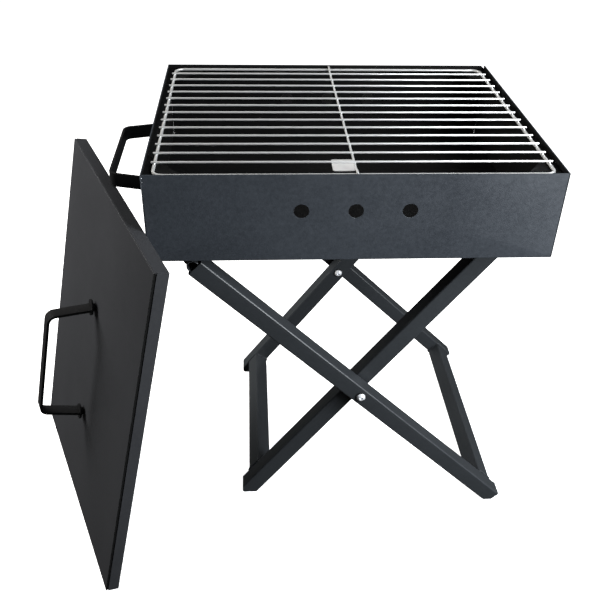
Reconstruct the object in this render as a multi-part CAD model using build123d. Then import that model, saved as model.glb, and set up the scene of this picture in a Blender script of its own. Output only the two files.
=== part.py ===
from build123d import *
from math import atan2, cos, degrees, hypot, radians, sin, sqrt
import os

os.makedirs("parts", exist_ok=True)

# Folding charcoal grill: an open sheet steel firebox on two crossed tube frames, with a lift-out
# wire grate and a loose lid that leans against the firebox.
# Millimetres. X runs along the long side of the firebox, Y from its front to its back, Z up.

# Firebox
box_width = 400.0
box_depth = 320.0
box_height = 92.0
sheet = 1.2
box_bend_radius = 1.6
vent_diameter = 15.0
vent_pitch = 52.0
vents_per_row = 3
front_vent_drop = 38.0
knockout_drop = 43.5
knockout_step = 0.5

# Leg frames, of square tube
tube = 20.0
tube_wall = 1.2
tube_corner = 2.0
frame_inset = 7.0
frame_gap = 3.5
outer_leg_upper = 250.0
outer_leg_short = 2.5
outer_leg_slope = 44.2
outer_foot_lift = 1.7
outer_foot_bar_from_end = 21.0
hinge_inset = 42.0
inner_leg_end_gap = 2.0
top_bar_from_end = 8.0
top_bar_drop = 17.5
top_bar_inset = 54.431
inner_foot_bar_from_floor = 26.46
inner_foot_nose = 6.03
inner_foot_radius = 3.0
fold_gap = 1.2

# Round cross bars that carry the firebox
round_bar = 13.0
round_bar_wall = 1.2
running_gap = 0.1
weld_gap = 0.05

# Hinge brackets and catch plates under the firebox floor
plate = 2.0
bracket_width = 32.0
bracket_flange = 20.0
bracket_edge = 5.5
bracket_side_gap = 0.5
bracket_bend = 1.8
catch_mouth = 9.0
catch_gap = 1.2
catch_finger = 4.5
catch_back = 6.0
rivet_diameter = 4.0
rivet_head = 8.0
rivet_head_height = 1.6
rivet_low_head = 7.0
rivet_pitch = 20.0
hole_gap = 0.05

# Pivot bolts
bolt_diameter = 6.0
bolt_head = 10.5
bolt_head_height = 3.3
bolt_socket = 4.0
bolt_socket_depth = 2.0
bolt_tip = 0.7
washer_diameter = 12.5
washer_thickness = 1.0
spacer_diameter = 14.0
nut_across_flats = 10.0
nut_height = 6.0
nut_chamfer = 0.4
side_play = 0.2

# End plugs of the leg tubes
plug_depth = 16.0
plug_gap = 0.05

# Side handle, of flat bar
bar_width = 15.0
bar_thickness = 3.0
bar_bend_radius = 9.0
side_handle_drop = 42.5
side_handle_foot_half = 76.5
side_handle_grip_half = 63.5
side_handle_reach = 47.0

# Wire grate and what carries it
grate_side_gap = 7.3
grate_end_gap = 4.8
grate_drop = 3.9
grate_corner_radius = 10.0
frame_wire = 3.0
cross_wire = 2.2
cross_wires = 13
cross_end_margin = 23.5
cross_tip = 3.0
wire_end_radius = 0.4
wire_weld_gap = 0.02
centre_wire_front_tip = 1.5
centre_wire_rear_tip = 4.0
centre_wire_ramp = 12.0
centre_wire_bend = 14.0
seat_gap = 0.3
support_plate = 1.5
support_side_leg = 58.0
support_front_leg = 44.0
tag_width = 21.0
tag_depth = 25.0
tag_thickness = 0.8
tag_corner = 2.0
tag_past_wire = 8.0

# Lid
lid_fit_gap = 0.6
lid_rim = 14.4
lid_lean = 12.66
lid_turn = 22.06
lid_near_overhang = 77.7
lid_rest_gap = 0.3
lid_bend_radius = 1.5
lid_handle_foot_half = 72.0
lid_handle_grip_half = 66.0
lid_handle_reach = 52.0
lid_handle_shift = -3.5
disc_diameter = 18.0
disc_thickness = 2.0
screw_diameter = 5.0
screw_head = 9.0
screw_head_height = 2.2
small_nut_across_flats = 8.0
small_nut_height = 3.7

# Places along X, from the middle of the firebox
hinge_x = -box_width / 2 + hinge_inset
pivot_x = hinge_x + outer_leg_upper * cos(radians(outer_leg_slope))
top_bar_x = box_width / 2 - top_bar_inset

# The inner frame reaches from the pivot to its top bar under the firebox. It folds flat inside the
# outer frame, so the outer foot bar lies just past its upper end.
hinge_rise = outer_leg_upper * sin(radians(outer_leg_slope))
top_bar_rise = hinge_rise + tube / 2 + fold_gap - top_bar_drop
top_bar_reach = hypot(top_bar_x - pivot_x, top_bar_rise)
inner_leg_slope = degrees(atan2(top_bar_rise, top_bar_x - pivot_x))
inner_leg_upper = top_bar_reach + top_bar_from_end
outer_foot_bar_reach = inner_leg_upper + inner_leg_end_gap + tube / 2
outer_leg_lower = outer_foot_bar_reach + outer_foot_bar_from_end

# Heights above the floor, worked out from the leg frames
pivot_z = outer_leg_lower * sin(radians(outer_leg_slope)) + outer_foot_lift
hinge_z = pivot_z + hinge_rise
floor_sheet_z = hinge_z + tube / 2 + fold_gap
rim_z = floor_sheet_z + box_height
inside_floor_z = floor_sheet_z + sheet
top_bar_z = pivot_z + top_bar_rise
inner_floor_reach = pivot_z / sin(radians(inner_leg_slope))
inner_leg_lower = inner_floor_reach + tube
inner_foot_bar_reach = inner_floor_reach - inner_foot_bar_from_floor
inner_nose_x = pivot_x - inner_floor_reach * cos(radians(inner_leg_slope)) - inner_foot_nose

# Places along Y: half widths over each frame
outer_half = box_depth / 2 - frame_inset
outer_inner_half = outer_half - tube
inner_half = outer_inner_half - frame_gap
inner_inner_half = inner_half - tube

firebox = {}
outer_frame = {}
inner_frame = {}
grate = {}
lid = {}


def cylinder_along_y(radius, y_start, y_end, x, z):
    middle = (y_start + y_end) / 2
    return Pos(x, middle, z) * Rot(90, 0, 0) * Cylinder(radius, abs(y_end - y_start))


def tube_section(size, wall, corner):
    inner = size - 2 * wall
    return RectangleRounded(size, size, corner) - RectangleRounded(inner, inner, corner - wall)


def outer_place(along):
    """A place on the outer frame: X along the leg towards its foot, Z square to it, upwards."""
    return Pos(pivot_x, 0, pivot_z) * Rot(0, outer_leg_slope, 0) * Pos(along, 0, 0)


def inner_place(along):
    """A place on the inner frame: X along the leg towards its upper end, Z square to it, upwards."""
    return Pos(pivot_x, 0, pivot_z) * Rot(0, -inner_leg_slope, 0) * Pos(along, 0, 0)


def leg_tube(start, end, y):
    """A square tube along X, from start to end, with its middle at y."""
    section = Plane(origin=(start, y, 0), x_dir=(0, 1, 0), z_dir=(1, 0, 0))
    return extrude(section * tube_section(tube, tube_wall, tube_corner), amount=end - start)


def leg_plug(start, end, y):
    """The solid plug that closes a leg tube between start and end."""
    size = tube - 2 * tube_wall - 2 * plug_gap
    section = Plane(origin=(start, y, 0), x_dir=(0, 1, 0), z_dir=(1, 0, 0))
    return extrude(section * RectangleRounded(size, size, tube_corner - tube_wall), amount=end - start)


def cross_tube(half_length):
    """A square tube along Y between the two legs of a frame."""
    section = Plane(origin=(0, -half_length, 0), x_dir=(1, 0, 0), z_dir=(0, 1, 0))
    return extrude(section * tube_section(tube, tube_wall, tube_corner), amount=2 * half_length)


def round_tube(half_length, x, z):
    outside = cylinder_along_y(round_bar / 2, -half_length, half_length, x, z)
    inside = cylinder_along_y(round_bar / 2 - round_bar_wall, -half_length, half_length, x, z)
    return outside - inside


def bent_bar(foot_half, grip_half, reach, foot_lift):
    """A flat bar handle on the plane Z = 0: its grip runs along X, and reach is its whole height."""
    half = bar_thickness / 2
    slope = (foot_half - grip_half) / (reach - half)
    extra = bar_thickness
    foot = foot_half - half
    corner = grip_half - half
    path = FilletPolyline(
        (-foot - slope * extra, 0, -extra),
        (-corner, 0, reach - half),
        (corner, 0, reach - half),
        (foot + slope * extra, 0, -extra),
        radius=bar_bend_radius,
    )
    start = Plane(origin=path @ 0, x_dir=(0, 1, 0), z_dir=path % 0)
    bar = sweep(start * Rectangle(bar_width, bar_thickness), path=path)
    below = Pos(0, 0, foot_lift - reach) * Box(4 * foot_half, 2 * bar_width, 2 * reach)
    return bar - below


def hex_nut(across_flats, height, bore):
    """A nut on Z = 0, going up."""
    body = extrude(RegularPolygon(across_flats / 2, 6, major_radius=False), amount=height)
    rounding = Pos(0, 0, height / 2) * Cylinder(across_flats / sqrt(3), height)
    rounding = chamfer(rounding.edges().filter_by(GeomType.CIRCLE), nut_chamfer)
    return (body & rounding) - Pos(0, 0, height / 2) * Cylinder(bore / 2, height)


def domed_head(diameter, height):
    """A domed head on Z = 0, going up."""
    radius = diameter / 2
    sphere = (radius**2 + height**2) / (2 * height)
    ball = Pos(0, 0, height - sphere) * Sphere(sphere)
    return ball & Pos(0, 0, height / 2) * Cylinder(radius, height)


def both_sides(solid):
    return [solid, mirror(solid, about=Plane.XZ)]


# Firebox shell: one folded sheet, open at the top. It has three open vents in its front, and three
# knock-outs in its back: discs sheared half through inwards, which can be punched out for more air.
shell = Box(box_width, box_depth, box_height)
shell = fillet(shell.faces().sort_by(Axis.Z)[0].edges(), box_bend_radius)
cavity = Pos(0, 0, sheet) * Box(box_width - 2 * sheet, box_depth - 2 * sheet, box_height)
cavity = fillet(cavity.faces().sort_by(Axis.Z)[0].edges(), box_bend_radius - sheet)
shell = Pos(0, 0, floor_sheet_z + box_height / 2) * (shell - cavity)
front_y, back_y = -box_depth / 2, box_depth / 2
for i in range(vents_per_row):
    vent_x = (i - (vents_per_row - 1) / 2) * vent_pitch
    vent_z, knockout_z = rim_z - front_vent_drop, rim_z - knockout_drop
    shell -= cylinder_along_y(vent_diameter / 2, front_y - sheet, front_y + 2 * sheet, vent_x, vent_z)
    dent = back_y - knockout_step
    shell -= cylinder_along_y(vent_diameter / 2, dent, dent + sheet, vent_x, knockout_z)
    shell += cylinder_along_y(vent_diameter / 2, dent - sheet, back_y - sheet / 2, vent_x, knockout_z)

# Hinge brackets: bent plates whose ears hold the round hinge tube just inside the outer legs
ear_y = -(outer_inner_half - bracket_side_gap - plate / 2)
ear_radius = round_bar / 2 + bracket_edge
ear = cylinder_along_y(ear_radius, ear_y - plate / 2, ear_y + plate / 2, hinge_x, hinge_z)
ear += Pos(hinge_x, ear_y, hinge_z + ear_radius) * Box(2 * ear_radius, plate, 2 * ear_radius)
ear -= Pos(hinge_x, ear_y, floor_sheet_z + ear_radius) * Box(4 * ear_radius, 2 * plate, 2 * ear_radius)
ear_flange_y = ear_y - plate / 2 + bracket_flange / 2
flange = Pos(hinge_x, ear_flange_y, floor_sheet_z - plate / 2) * Box(bracket_width, bracket_flange, plate)
hinge_bracket = ear + flange
hinge_bracket -= cylinder_along_y(round_bar / 2 + running_gap, ear_y - plate, ear_y + plate, hinge_x, hinge_z)
hinge_rivets = [(hinge_x + s * rivet_pitch / 2, ear_flange_y + plate / 2) for s in (-1, 1)]

# Catch plates: bent plates with a slot, open to the right, that the inner frame's top bar slides into
catch_y = -(inner_inner_half - bracket_side_gap - plate / 2)
slot_radius = round_bar / 2 + catch_gap
catch_left = top_bar_x - slot_radius - catch_back
catch_right = top_bar_x + catch_mouth
catch_low = top_bar_z - slot_radius - catch_finger
catch_middle_x = (catch_left + catch_right) / 2
catch_plate = Pos(catch_middle_x, catch_y, (catch_low + floor_sheet_z) / 2) * Box(
    catch_right - catch_left, plate, floor_sheet_z - catch_low
)
catch_plate = fillet(catch_plate.edges().filter_by(Axis.Y).group_by(Axis.Z)[0], catch_finger)
slot = cylinder_along_y(slot_radius, catch_y - plate, catch_y + plate, top_bar_x, top_bar_z)
slot += Pos(top_bar_x + catch_mouth, catch_y, top_bar_z) * Box(2 * catch_mouth, 2 * plate, 2 * slot_radius)
catch_plate -= slot
catch_flange_y = catch_y - plate / 2 + bracket_flange / 2
flange = Pos(catch_middle_x, catch_flange_y, floor_sheet_z - plate / 2) * Box(
    bracket_width, bracket_flange, plate
)
catch_plate += flange
catch_rivets = [(catch_middle_x + s * rivet_pitch / 2, catch_flange_y + plate / 2) for s in (-1, 1)]

# Rivets: a domed head inside the firebox, a shank through floor and flange, a flatter head below
rivet_shank = Pos(0, 0, -(sheet + plate) / 2) * Cylinder(rivet_diameter / 2, sheet + plate)
low_head = mirror(domed_head(rivet_low_head, rivet_head_height), about=Plane.XY)
rivet = rivet_shank + domed_head(rivet_head, rivet_head_height)
rivet += Pos(0, 0, -(sheet + plate)) * low_head
rivet_hole = Pos(0, 0, -(sheet + plate) / 2) * Cylinder(rivet_diameter / 2 + hole_gap, 2 * (sheet + plate))
rivet_groups = {}
for name, spots in (("hinge_bracket_rivets", hinge_rivets), ("catch_plate_rivets", catch_rivets)):
    rivet_groups[name] = []
    for x, y in spots:
        for y_place in (y, -y):
            place = Pos(x, y_place, inside_floor_z)
            rivet_groups[name].append(place * rivet)
            shell -= place * rivet_hole
            hinge_bracket -= place * rivet_hole
            catch_plate -= place * rivet_hole
firebox["firebox_shell"] = shell
for name, solid in (("hinge_bracket", hinge_bracket), ("catch_plate", catch_plate)):
    top_edges = solid.edges().filter_by(Axis.X).group_by(Axis.Z)[-1]
    outer_bend = top_edges.sort_by(Axis.Y)[0]
    front, rear = both_sides(fillet(outer_bend, bracket_bend))
    firebox[name + "_front"] = front
    firebox[name + "_rear"] = rear
firebox["hinge_bracket_rivets"] = Compound(rivet_groups["hinge_bracket_rivets"])
firebox["catch_plate_rivets"] = Compound(rivet_groups["catch_plate_rivets"])

# Corner supports: flat triangular plates welded into the four corners, which the grate lies on
grate_z = rim_z - grate_drop
support_top = grate_z - frame_wire / 2 - seat_gap
corner_x = box_width / 2 - sheet
corner_y = box_depth / 2 - sheet
for x_name, x_side in (("left", -1), ("right", 1)):
    for y_name, y_side in (("front", -1), ("rear", 1)):
        outline = Polyline(
            (x_side * corner_x, y_side * corner_y),
            (x_side * (corner_x - support_front_leg), y_side * corner_y),
            (x_side * corner_x, y_side * (corner_y - support_side_leg)),
            close=True,
        )
        support = extrude(make_face(outline), amount=support_plate, dir=(0, 0, 1))
        firebox[f"grate_support_{y_name}_{x_name}"] = Pos(0, 0, support_top - support_plate) * support

# Side handle: one bent flat bar, welded by its ends to the left wall
side_handle_z = rim_z - side_handle_drop - bar_width / 2
handle_plane = Plane(origin=(-box_width / 2, 0, side_handle_z), x_dir=(0, 1, 0), z_dir=(-1, 0, 0))
firebox["side_handle"] = handle_plane * bent_bar(
    side_handle_foot_half, side_handle_grip_half, side_handle_reach, 0
)

# Outer frame: two legs with a square foot bar at the lower end and the round hinge tube at the upper one
outer_leg_y = -(outer_half - tube / 2)
above_floor = Pos(0, 0, rim_z) * Box(8 * outer_leg_lower, 2 * box_depth, 2 * rim_z)
leg = leg_tube(outer_leg_short - outer_leg_upper, outer_leg_lower, outer_leg_y)
leg -= cylinder_along_y(bolt_diameter / 2 + hole_gap, -outer_half - tube_wall, -inner_half, 0, 0)
hinge_tube_half = outer_half - tube_wall
leg -= cylinder_along_y(round_bar / 2 + weld_gap, -hinge_tube_half, 0, -outer_leg_upper, 0)
leg = outer_place(0) * leg & above_floor
plug = outer_place(0) * leg_plug(outer_leg_lower - plug_depth, outer_leg_lower, outer_leg_y) & above_floor
front, rear = both_sides(leg)
outer_frame["outer_leg_front"] = front
outer_frame["outer_leg_rear"] = rear
outer_frame["outer_foot_bar"] = outer_place(outer_foot_bar_reach) * cross_tube(outer_inner_half)
outer_frame["outer_foot_plugs"] = Compound(both_sides(plug))
outer_frame["hinge_tube"] = round_tube(hinge_tube_half, hinge_x, hinge_z)

# Inner frame: two legs with a square foot bar, and a round top bar that hooks into the catch plates
inner_leg_y = -(inner_half - tube / 2)
foot_outline = FilletPolyline(
    (inner_nose_x, 2 * rim_z),
    (inner_nose_x, 0),
    (2 * box_width, 0),
    radius=inner_foot_radius,
)
foot_face = make_face([foot_outline, Line(foot_outline @ 1, foot_outline @ 0)])
foot_keep = Plane.XZ * foot_face
foot_keep = Pos(0, box_depth, 0) * extrude(foot_keep, amount=2 * box_depth)
leg = leg_tube(-inner_leg_lower, inner_leg_upper, inner_leg_y)
pivot_bore = bolt_diameter / 2 + running_gap
leg -= cylinder_along_y(pivot_bore, -inner_half - tube_wall, -inner_inner_half + tube_wall, 0, 0)
leg = inner_place(0) * leg & foot_keep
foot_plug = leg_plug(-inner_leg_lower, -inner_leg_lower + plug_depth + tube, inner_leg_y)
foot_plug = inner_place(0) * foot_plug & foot_keep
top_plug = inner_place(0) * leg_plug(inner_leg_upper - plug_depth, inner_leg_upper, inner_leg_y)
front, rear = both_sides(leg)
inner_frame["inner_leg_front"] = front
inner_frame["inner_leg_rear"] = rear
inner_frame["inner_foot_bar"] = inner_place(-inner_foot_bar_reach) * cross_tube(inner_inner_half)
inner_frame["inner_top_bar"] = round_tube(inner_inner_half, top_bar_x, top_bar_z)
inner_frame["inner_foot_plugs"] = Compound(both_sides(foot_plug))
inner_frame["inner_top_plugs"] = Compound(both_sides(top_plug))

# Pivots: on each side a bolt through both legs, with a washer, a spacer between the legs and a nut.
# Both bolts go in from the front, so the rear one has its head inside and its nut outside.
nut_y = -inner_inner_half + side_play
bolt_length = outer_half + washer_thickness - inner_inner_half + side_play + nut_height + bolt_tip
bolt = Pos(0, 0, -bolt_length / 2) * Cylinder(bolt_diameter / 2, bolt_length)
bolt += domed_head(bolt_head, bolt_head_height)
socket = extrude(RegularPolygon(bolt_socket / 2, 6, major_radius=False), amount=bolt_socket_depth)
bolt -= Pos(0, 0, bolt_head_height - bolt_socket_depth) * socket
facing_front = Plane(origin=(pivot_x, -outer_half, pivot_z), x_dir=(1, 0, 0), z_dir=(0, -1, 0))
clear_bore = bolt_diameter / 2 + hole_gap
washer = Cylinder(washer_diameter / 2, washer_thickness) - Cylinder(clear_bore, washer_thickness)
spacer_thickness = frame_gap - side_play
spacer = Cylinder(spacer_diameter / 2, spacer_thickness) - Cylinder(clear_bore, spacer_thickness)
nut = hex_nut(nut_across_flats, nut_height, 2 * clear_bore)
bolt = facing_front * Pos(0, 0, washer_thickness) * bolt
washer = facing_front * Pos(0, 0, washer_thickness / 2) * washer
spacer = facing_front * Pos(0, 0, -tube - spacer_thickness / 2) * spacer
nut = facing_front * Pos(0, 0, -outer_half - nut_y - nut_height) * nut
to_rear = Pos(0, outer_half + inner_inner_half, 0)
outer_frame["pivot_bolt_front"] = bolt
outer_frame["pivot_bolt_rear"] = to_rear * bolt
outer_frame["pivot_washers"] = Compound([washer, to_rear * washer])
outer_frame["pivot_spacers"] = Compound([spacer, to_rear * spacer])
outer_frame["pivot_nuts"] = Compound([nut, to_rear * nut])

# Grate: a bent frame wire, cross wires welded on top of it and one centre wire under the cross wires
grate_width = box_width - 2 * (sheet + grate_side_gap) - frame_wire
grate_depth = box_depth - 2 * (sheet + grate_end_gap) - frame_wire
cross_pitch = (grate_depth - 2 * cross_end_margin) / (cross_wires - 1)
frame_path = Polyline(
    (-grate_width / 2, -grate_depth / 2),
    (grate_width / 2, -grate_depth / 2),
    (grate_width / 2, grate_depth / 2),
    (-grate_width / 2, grate_depth / 2),
    close=True,
)
frame_path = fillet(frame_path.vertices(), grate_corner_radius)
frame_start = Plane(origin=frame_path @ 0, z_dir=frame_path % 0)
frame_loop = sweep(frame_start * Circle(frame_wire / 2), path=frame_path)
grate["grate_frame"] = Pos(0, 0, grate_z) * frame_loop
cross_z = grate_z + frame_wire / 2 + cross_wire / 2 + wire_weld_gap
cross_length = grate_width + frame_wire + cross_tip
for i in range(cross_wires):
    y = (i - (cross_wires - 1) / 2) * cross_pitch
    wire = Rot(0, 90, 0) * Cylinder(cross_wire / 2, cross_length)
    wire = fillet(wire.edges().filter_by(GeomType.CIRCLE), wire_end_radius)
    grate[f"grate_cross_wire_{i + 1:02d}"] = Pos(0, y, cross_z) * wire
centre_z = cross_z - cross_wire - wire_weld_gap
ramp_end = grate_depth / 2 - frame_wire
ramp_start = ramp_end - centre_wire_ramp
front_tip = -(grate_depth + frame_wire) / 2 - centre_wire_front_tip
rear_tip = (grate_depth + frame_wire) / 2 + centre_wire_rear_tip
centre_path = FilletPolyline(
    (0, front_tip, cross_z),
    (0, -ramp_end, cross_z),
    (0, -ramp_start, centre_z),
    (0, ramp_start, centre_z),
    (0, ramp_end, cross_z),
    (0, rear_tip, cross_z),
    radius=centre_wire_bend,
)
centre_start = Plane(origin=centre_path @ 0, z_dir=centre_path % 0)
grate["grate_centre_wire"] = sweep(centre_start * Circle(cross_wire / 2), path=centre_path)

# Tag: a blank steel plate under the front cross wire, beside the centre wire
front_cross_y = -(cross_wires - 1) / 2 * cross_pitch
tag_x = -(cross_wire + tag_width) / 2 - running_gap
tag_y = front_cross_y + tag_past_wire - tag_depth / 2
tag_z = cross_z - cross_wire / 2 - wire_weld_gap - tag_thickness
tag = extrude(RectangleRounded(tag_width, tag_depth, tag_corner), amount=tag_thickness)
grate["blank_tag"] = Pos(tag_x, tag_y, tag_z) * tag

# Lid: a shallow folded pan, drawn flat with X along its tall side, its outer face on Z = 0
lid_height = box_width + 2 * (lid_fit_gap + sheet)
lid_width = box_depth + 2 * (lid_fit_gap + sheet)
pan = Pos(0, 0, -lid_rim / 2) * Box(lid_height, lid_width, lid_rim)
pan = fillet(pan.faces().sort_by(Axis.Z)[-1].edges(), lid_bend_radius)
hollow = Pos(0, 0, -lid_rim / 2 - sheet) * Box(lid_height - 2 * sheet, lid_width - 2 * sheet, lid_rim)
pan -= fillet(hollow.faces().sort_by(Axis.Z)[-1].edges(), lid_bend_radius - sheet)
foot_lift = small_nut_height + disc_thickness
handle = bent_bar(
    lid_handle_foot_half + bar_thickness / 2, lid_handle_grip_half, lid_handle_reach, foot_lift
)
screw_length = sheet + foot_lift
screw = Pos(0, 0, foot_lift - screw_length / 2) * Cylinder(screw_diameter / 2, screw_length)
screw += Pos(0, 0, -sheet) * mirror(domed_head(screw_head, screw_head_height), about=Plane.XY)
screw_bore = screw_diameter / 2 + hole_gap
disc = Cylinder(disc_diameter / 2, disc_thickness) - Cylinder(screw_bore, disc_thickness)
disc = Pos(0, 0, small_nut_height + disc_thickness / 2) * disc
small_nut = hex_nut(small_nut_across_flats, small_nut_height, 2 * screw_bore)
lid_groups = {"lid_handle_discs": disc, "lid_handle_nuts": small_nut, "lid_handle_screws": screw}
foot_spots = [Pos(lid_handle_shift + s * lid_handle_foot_half, 0, 0) for s in (-1, 1)]
for spot in foot_spots:
    pan -= spot * Cylinder(screw_bore, 4 * sheet)

# The lid stands on the floor and leans on whatever it meets first: the firebox's corner if the lid is
# tall enough, the end of the hinge tube below it, or the near end of the side handle, which may lie a
# little way over the lid's slanting top rim.
turn = radians(lid_turn)
lean = radians(lid_lean)
lid_along = Vector(-sin(turn), cos(turn), 0)
lid_side = Vector(cos(turn), sin(turn), 0)
lid_up = lid_side * sin(lean) + Vector(0, 0, cos(lean))
lid_inward = lid_side * cos(lean) - Vector(0, 0, sin(lean))
corner_lift = lid_rim * sin(lean)
lip_top = corner_lift + lid_height * cos(lean) - lid_rim * sin(lean)
hinge_tube_end = Vector(hinge_x, -hinge_tube_half, hinge_z)
nearest = hinge_tube_end.dot(lid_inward) - round_bar / 2
if lip_top > floor_sheet_z:
    box_corner = Vector(-box_width / 2, -box_depth / 2, min(lip_top, rim_z))
    nearest = min(nearest, box_corner.dot(lid_inward))
side_handle_low = side_handle_z - bar_width / 2
handle_end = Vector(-box_width / 2 - side_handle_reach, -side_handle_grip_half, side_handle_low)
over_rim = max(0, side_handle_low - lip_top) / sin(lean)
if over_rim < lid_rim:
    nearest = min(nearest, handle_end.dot(lid_inward) + over_rim)
lid_reach = (nearest - lid_rim - lid_rest_gap + corner_lift * sin(lean)) / cos(lean)
touching = Vector(-box_width / 2, -box_depth / 2, 0).dot(lid_along) - lid_near_overhang
lid_corner = lid_along * touching + lid_side * lid_reach + Vector(0, 0, corner_lift)
lid_middle = lid_corner + lid_up * (lid_height / 2) + lid_along * (lid_width / 2)
lid_plane = Plane(origin=lid_middle, x_dir=lid_up, z_dir=-lid_inward)
lid["lid_shell"] = lid_plane * pan
lid["lid_handle"] = lid_plane * Pos(lid_handle_shift, 0, 0) * handle
for name, solid in lid_groups.items():
    lid[name] = Compound([lid_plane * spot * solid for spot in foot_spots])

# The origin is on the floor, under the middle of the whole object's bounding box.
bodies = {
    "firebox": firebox,
    "outer_frame": outer_frame,
    "inner_frame": inner_frame,
    "grate": grate,
    "lid": lid,
}
boxes = [solid.bounding_box() for nodes in bodies.values() for solid in nodes.values()]
middle_x = (min(b.min.X for b in boxes) + max(b.max.X for b in boxes)) / 2
middle_y = (min(b.min.Y for b in boxes) + max(b.max.Y for b in boxes)) / 2
shift = Pos(-middle_x, -middle_y, 0)
for body, nodes in bodies.items():
    for name, solid in nodes.items():
        export_step(shift * solid, f"parts/{name}.step")
    print(body, len(nodes), "nodes:", ", ".join(nodes))

# Places that the joints and the rest of the description need, in the exported frame
print("firebox middle x, y:", -middle_x, -middle_y)
print("hinge tube axis x, z:", hinge_x - middle_x, hinge_z)
print("pivot axis x, z:", pivot_x - middle_x, pivot_z)
print("leg slopes:", outer_leg_slope, inner_leg_slope)
print("floor sheet z, rim z:", floor_sheet_z, rim_z)
print("lid middle:", lid_middle - Vector(middle_x, middle_y, 0), "up", lid_up, "inward", lid_inward)
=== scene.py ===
from math import atan2, cos, pi, radians, sin, sqrt

import bmesh
import bpy
from mathutils import Matrix, Vector


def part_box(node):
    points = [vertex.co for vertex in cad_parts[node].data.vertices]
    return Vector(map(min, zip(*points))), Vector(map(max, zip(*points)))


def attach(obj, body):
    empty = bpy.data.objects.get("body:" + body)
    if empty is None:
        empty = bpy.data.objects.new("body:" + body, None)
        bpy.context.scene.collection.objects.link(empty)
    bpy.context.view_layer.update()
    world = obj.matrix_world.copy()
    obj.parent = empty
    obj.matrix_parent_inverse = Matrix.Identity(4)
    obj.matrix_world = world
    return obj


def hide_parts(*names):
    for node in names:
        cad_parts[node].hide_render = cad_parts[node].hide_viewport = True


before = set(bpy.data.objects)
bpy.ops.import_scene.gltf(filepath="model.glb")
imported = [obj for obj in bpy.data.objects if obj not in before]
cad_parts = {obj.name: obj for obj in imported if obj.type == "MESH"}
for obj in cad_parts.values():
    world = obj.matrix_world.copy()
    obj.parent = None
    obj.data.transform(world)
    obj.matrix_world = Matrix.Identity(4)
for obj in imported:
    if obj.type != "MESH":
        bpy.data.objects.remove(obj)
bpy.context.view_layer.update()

# Firebox tray: one sheet of 1.2 mm steel, punched with three vents in front, half sheared for three
# knock-outs behind, and folded up on all four sides. The front and back walls stand between the side
# walls with an open seam at each corner. It is powder coated. Its inside faces get a near-black coat
# that paints in the shade inside the tray.
sheet = 0.0012
fold_radius = 0.0016
fold_steps = 6
seam_gap = 0.00005
relief_height = 0.001
vent_radius = 0.0075
vent_pitch = 0.052
vent_drops = {-1: 0.038, 1: 0.0435}
knockout_step = 0.0005
vent_steps = 48
notch_width, notch_depth = 0.004, 0.0035
edge_round = 0.00025
edge_steps = 2
merge_distance = 1e-6
sharp_angle = radians(35)
tray_low, tray_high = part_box("firebox_shell")
tray_middle = (tray_low + tray_high) / 2
tray_size = tray_high - tray_low


def piece_from(name, shape, turn_out=True):
    """A new piece from a bmesh, which is merged and whose faces are turned outwards."""
    bmesh.ops.remove_doubles(shape, verts=shape.verts, dist=merge_distance)
    if turn_out:
        bmesh.ops.recalc_face_normals(shape, faces=shape.faces)
    mesh = bpy.data.meshes.new(name)
    shape.to_mesh(mesh)
    shape.free()
    piece = bpy.data.objects.new(name, mesh)
    bpy.context.scene.collection.objects.link(piece)
    return piece


def settle(piece):
    """Turns a piece and its modifiers into a plain mesh."""
    graph = bpy.context.evaluated_depsgraph_get()
    mesh = bpy.data.meshes.new_from_object(
        piece.evaluated_get(graph), preserve_all_data_layers=True, depsgraph=graph
    )
    piece.modifiers.clear()
    piece.data = mesh
    mesh.name = piece.name
    return piece


def round_edges(piece, width=edge_round):
    """Breaks the sharp edges of a piece by this width."""
    piece.data.shade_smooth()
    bevel = piece.modifiers.new("rounded edges", "BEVEL")
    bevel.width = width
    bevel.segments = edge_steps
    bevel.limit_method = "ANGLE"
    bevel.angle_limit = sharp_angle
    bevel.harden_normals = True
    return settle(piece)


def dress(piece, body, slot, material, *nodes):
    """Paints a finished piece, hangs it on its body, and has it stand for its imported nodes."""
    if material:
        piece.data.materials.clear()
        piece.data.materials.append(material)
    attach(piece, body)
    if nodes:
        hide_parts(*nodes)


def node_group(name, kind, inputs, outputs):
    """An empty node group, with its inputs given as name: (kind of socket, value)."""
    group = bpy.data.node_groups.new(name, kind)
    for label, (socket_kind, value) in inputs.items():
        socket_type = "NodeSocket" + socket_kind
        socket = group.interface.new_socket(label, in_out="INPUT", socket_type=socket_type)
        if value is not None:
            socket.default_value = value
    for label, socket_kind in outputs.items():
        group.interface.new_socket(label, in_out="OUTPUT", socket_type="NodeSocket" + socket_kind)
    return group, group.nodes.new("NodeGroupInput"), group.nodes.new("NodeGroupOutput")


def add(tree, kind, values=None, **settings):
    """A node with its settings, and with values for its input sockets by name or number."""
    node = tree.nodes.new(kind)
    for label, value in settings.items():
        setattr(node, label, value)
    for label, value in (values or {}).items():
        node.inputs[label].default_value = value
    return node


def maths(tree, operation, values=None):
    """A node for one step of arithmetic."""
    return add(tree, "ShaderNodeMath", values, operation=operation)


def ranged(tree, low, high, start, end):
    """A node that turns values from low to high into values from start to end."""
    return add(tree, "ShaderNodeMapRange", {1: low, 2: high, 3: start, 4: end})


def link(tree, *joins):
    """Joins nodes, each time the first node's output by this name or number to the second's input."""
    for start, output, end, entry in joins:
        tree.links.new(start.outputs[output], end.inputs[entry])


skin_outputs = {"Colour": "Color", "Roughness": "Float", "Normal": "Vector"}
specks_per_pebble = 2.3
speck_edge = (0.16, 0.3)
cloud_scale, mottle_scale = 9.0, 260.0
tone_span = (0.7, 1.3)
pebble_depth = 0.0002


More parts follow.
